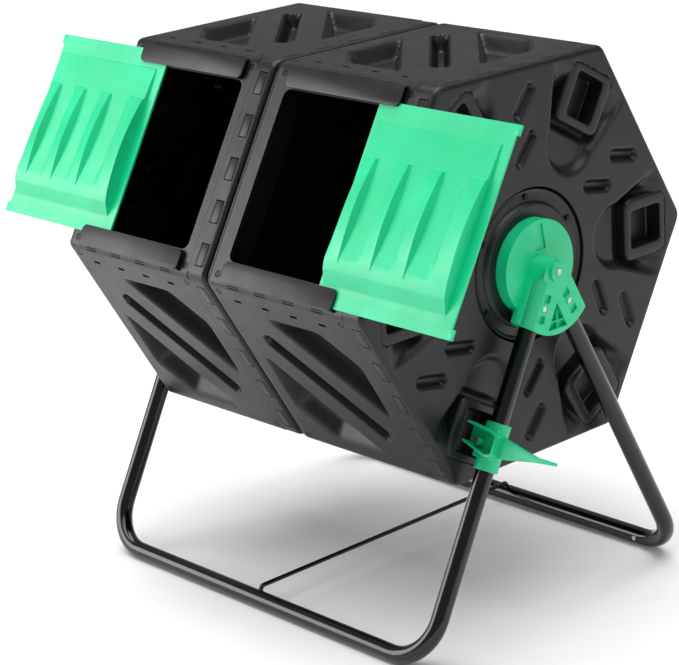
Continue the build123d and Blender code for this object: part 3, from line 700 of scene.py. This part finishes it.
def grip_frame():
    """One hand grip: a rounded block with a deep pocket, flush with the panel's face."""
    outer = arc_rows(grip_half_length, grip_half_width, grip_corner, 0.0, 5.0)
    inner = arc_rows(pocket_half_length, pocket_half_width, 5.0, 0.0, 2.0, outer=False)
    base = -pocket_depth - wall
    foot = (pocket_half_length - 1.5, pocket_half_width - 1.5, 4.0)
    middle = (0.01, 0.01, 0.005)
    rows = [
        (*middle, base), (grip_half_length, grip_half_width, grip_corner, base), *outer, *inner,
        (*foot, 1.5 - pocket_depth), (foot[0] - 1.5, foot[1] - 1.5, 3.0, -pocket_depth),
        (*middle, -pocket_depth),
    ]
    grip = rounded_block("grip", rows)
    grip.data.transform(Matrix.Translation((grip_radius, 0, 0)))
    return grip


def on_end(piece, side, x):
    """Place a piece across the drum axis, z outwards along it."""
    place_piece(piece, (0, side, 0), (0, 0, 1), (side, 0, 0), (side * x, 0, axis_height))


tongue_rows = (-124, -62, 0, 62, 124)
tongue_length, tongue_width, tongue_gap, tongue_inset = 15.0, 31.0, 1.2, 17.0


def rim_tongues(piece, x_edge):
    """Snap tongues in their windows along a cap's rim, five to a side."""
    for angle in face_turns.values():
        window = (tongue_length + 2 * tongue_gap, tongue_width + 2 * tongue_gap, 12)
        windows = boxes("windows", [(-tongue_inset, v, 0, *window) for v in tongue_rows])
        on_face(windows, angle, x_edge)
        cut(piece, windows)
        tongue = (tongue_length, tongue_width, 2.6)
        tongues = boxes("tongues", [(-tongue_inset, v, -1.0, *tongue) for v in tongue_rows])
        modify(tongues, "BEVEL", width=0.5, segments=2)
        on_face(tongues, angle, x_edge)
        join_pieces(piece, tongues)


drum_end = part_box("right_end_panel")[1].x / MM
inner_size, lip_width = apothem - wall - 0.3, 26.0
for chamber, side in (("left", -1), ("right", 1)):
    size = apothem if side > 0 else inner_size
    rim = rim_width - 0.4 if side > 0 else lip_width
    end_panel = cap(f"{chamber}_end_skin", size, 84.0, rim, end_face_depth)
    first = grip_frame()
    grips = [first] + [copy_of(first, f"grip_{i}") for i in range(1, 6)]
    for i, grip in enumerate(grips):
        grip.data.transform(Matrix.Rotation(math.radians(60 * i), 4, "Z"))
    join_pieces(end_panel, *grips)
    on_end(end_panel, side, drum_end)
    if side > 0:
        rim_tongues(end_panel, drum_end)
    smooth(end_panel, 40)
    hand_over(end_panel, black_plastic, "drum", "black_plastic", f"{chamber}_end_panel")

# -------------------------------------------------------- the middle divider
# A plain moulded cap of black polypropylene that closes the left chamber. Its
# rim takes the panels' tongues, and its lip carries the right chamber's panels.
hub_hole, lip_start, lip_step = 12.0, 230.0, 4.0
divider_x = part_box("left_top_panel")[1].x / MM + rim_width
divider = cap("middle_divider_skin", apothem, hub_hole, rim_width - 0.4, lambda x, y: 0 * x, around=240)
lip = cap("divider_lip", inner_size, lip_start, lip_width, lambda x, y: 0 * x, around=240)
plug = discs("divider_middle", [(0, 0, -wall / 2)], hub_hole + 1, wall, 32)
lip.data.transform(Matrix.Translation((0, 0, lip_step + lip_width)))
join_pieces(divider, lip, plug)
on_end(divider, 1, divider_x)
rim_tongues(divider, divider_x)
smooth(divider, 40)
hand_over(divider, black_plastic, "drum", "black_plastic", "middle_divider")

# ------------------------------------------------------- the retaining rings
# A moulded ring of black polypropylene, screwed into each end panel's seat and
# stepped up round the bracket's disc, which it holds and turns on.
ring_bore, ring_radius, ring_back = 66.3, 104.0, -11.8
ring_rows = [
    (ring_bore, -7.0), (ring_bore, -0.8), (67.4, 0.2), (76, 0.6), (80, 1.4), (83, 1.0), (85.5, -1.5),
    (87, -4.6), (90, -5.2), (98, -5.0), (100.5, -3.4), (103, -3.0), (ring_radius, -4.2),
    (ring_radius, ring_back),
    (ring_bore, ring_back), (ring_bore, -7.0),
]


def turned(name, profile, around):
    """A closed ring or disc turned from a profile of (radius, height)."""
    radii, heights = np.array(profile).T
    numbers = np.arange(len(profile))

    def shape(turn, row):
        radius = np.interp(row, numbers, radii)
        return radius * np.cos(turn), radius * np.sin(turn), np.interp(row, numbers, heights)

    piece = sheet(name, np.linspace(0, 2 * math.pi, around + 1), numbers, shape)
    close_up(piece)
    return piece


for chamber, side in (("left", -1), ("right", 1)):
    ring = turned(f"{chamber}_ring_skin", ring_rows, 96)
    smooth(ring, 30)
    on_end(ring, side, drum_end)
    hand_over(ring, black_plastic, "drum", "black_plastic", f"{chamber}_retaining_ring")

# --------------------------------------------- the hub brackets and the lock
# Moulded in the same green polypropylene. A bracket's disc carries the drum and
# its fan holds two screwed legs; the collar clips round the front right leg and
# holds the lever that locks the drum.
fan_face = 47.0
web_top, web_foot, web_slope, web_rib = -43.0, -80.0, 0.5, 1.6
pocket_floor = 7.0
foot_spread, leg_radius, leg_out, sleeve_radius = 259.0, 12.5, 29.0, 19.5


def round_sleeve(bracket, side):
    """Round the outside of the front leg's socket to a sleeve about the leg."""
    lean = math.atan2(foot_spread, axis_height - leg_radius)
    corner = boxes("sleeve_corner", [(-side * 30, -66, leg_out + 20, 60, 96, 40)])
    sleeve = discs("sleeve", [(0, 0, 0)], sleeve_radius, 140, 64)
    sleeve.data.transform(Matrix.Translation((0, -66, leg_out)) @ Matrix.Rotation(math.radians(90), 4, "X"))
    modify(corner, "BOOLEAN", operation="DIFFERENCE", object=sleeve, solver="EXACT")
    bpy.data.objects.remove(sleeve)
    corner.data.transform(Matrix.Rotation(-side * lean, 4, "Z"))
    on_end(corner, side, drum_end)
    modify(bracket, "BOOLEAN", operation="DIFFERENCE", object=corner, solver="EXACT")
    bpy.data.objects.remove(corner)


def web_pockets(bracket, side):
    """Sink the web between a bracket's two sockets, leaving a cross of thin ribs."""
    tall = web_top - web_foot
    bpy.ops.mesh.primitive_cylinder_add(vertices=3, radius=2 * tall / 3, depth=2 * pocket_floor)
    pocket = bpy.context.object
    pocket.name = "web_pocket"
    pocket.data.transform(Matrix.Diagonal((web_slope * math.sqrt(3), 1, 1, 1)))
    pocket.data.transform(Matrix.Translation((0, web_top - 2 * tall / 3, fan_face)))
    on_end(pocket, side, drum_end)
    modify(bracket, "BOOLEAN", operation="DIFFERENCE", object=pocket, solver="EXACT")
    bpy.data.objects.remove(pocket)
    middle_y = (web_top + web_foot) / 2 - 6
    cross_length = (web_top - middle_y) * 2 * web_slope + 6
    rib_z = fan_face - pocket_floor / 2 - 0.6
    upright = (0, middle_y, rib_z, web_rib, tall - 12, pocket_floor)
    ribs = boxes("web_ribs", [upright, (0, middle_y - 2, rib_z, cross_length, web_rib, pocket_floor)])
    modify(ribs, "BEVEL", width=0.4, segments=2)
    on_end(ribs, side, drum_end)
    join_pieces(bracket, ribs)
    smooth(bracket)


green_bodies = {
    "left_hub_bracket": "stand", "right_hub_bracket": "stand", "lock_collar": "stand", "lock_lever": "lever",
}
for node, body in green_bodies.items():
    green = softened(node, f"{node}_skin", 1.2, 3)
    if node.endswith("hub_bracket"):
        side = 1 if node.startswith("right") else -1
        round_sleeve(green, side)
        web_pockets(green, side)
    hand_over(green, green_plastic, body, "green_plastic", node)

# ------------------------------------------------------- floor, light, camera
# A plain pale floor, soft boxes above and to both sides, and a long lens.
bpy.ops.object.select_all(action="DESELECT")
bpy.ops.mesh.primitive_plane_add(size=14)
floor = bpy.context.object
floor.name = "studio_floor"
floor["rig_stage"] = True
paper = surface_finish("white_paper_floor", ("#f3f3f3", "#f8f8f8"), (400, 2), Roughness=0.8)
floor.data.materials.append(paper)

world = bpy.data.worlds.new("studio_white")
bpy.context.scene.world = world
world.use_nodes = True
backdrop = world.node_tree.nodes["Background"]
backdrop.inputs["Color"].default_value = (1, 1, 1, 1)
seen = world.node_tree.nodes.new("ShaderNodeLightPath").outputs["Is Camera Ray"]
strength = world.node_tree.nodes.new("ShaderNodeMapRange")
strength.inputs["To Min"].default_value = 0.3
world.node_tree.links.new(seen, strength.inputs["Value"])
world.node_tree.links.new(strength.outputs["Result"], backdrop.inputs["Strength"])
bpy.context.scene.view_settings.view_transform = "Standard"


def soft_box(name, place, target, width, height, watts):
    """A rectangular studio light that faces a point."""
    data = bpy.data.lights.new(name, "AREA")
    data.shape = "RECTANGLE"
    data.size, data.size_y = width, height
    data.energy = watts
    light = bpy.data.objects.new(name, data)
    bpy.context.scene.collection.objects.link(light)
    light.location = place
    light.rotation_euler = (Vector(target) - Vector(place)).to_track_quat("-Z", "Y").to_euler()


bpy.ops.object.light_add(type="SUN", location=(0, 0, 4))
ceiling = bpy.context.object
ceiling.name = "ceiling_glow"
ceiling.data.energy = 2.4
ceiling.data.angle = math.radians(70)
middle = (0, 0, 0.5)
soft_box("overhead_box", (-0.4, -0.2, 3.4), middle, 3.0, 3.0, 45)
soft_box("front_box", (-2.5, -2.4, 1.3), middle, 2.2, 2.0, 72)
soft_box("side_box", (3.6, 0.6, 1.7), middle, 0.8, 2.2, 18)

camera_data = bpy.data.cameras.new("camera")
camera_data.sensor_fit = "HORIZONTAL"
camera_data.sensor_width = 36
camera_data.lens = 128.67
camera = bpy.data.objects.new("camera", camera_data)
bpy.context.scene.collection.objects.link(camera)
azimuth, elevation, roll = (math.radians(a) for a in (48.28, 18.07, -3.51))
look = Vector((-math.sin(azimuth) * math.cos(elevation), math.cos(azimuth) * math.cos(elevation),
               -math.sin(elevation)))
right = Vector((math.cos(azimuth), math.sin(azimuth), 0))
up = right.cross(look)
tilted_right = math.cos(roll) * right + math.sin(roll) * up
tilted_up = -math.sin(roll) * right + math.cos(roll) * up
camera_place = (2.4676, -2.2749, 1.4436)
camera.matrix_world = Matrix.Translation(camera_place) @ Matrix(
    (tilted_right, tilted_up, -look)
).transposed().to_4x4()
bpy.context.scene.camera = camera

boxes = {"cad": cad_box, "visual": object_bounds()}
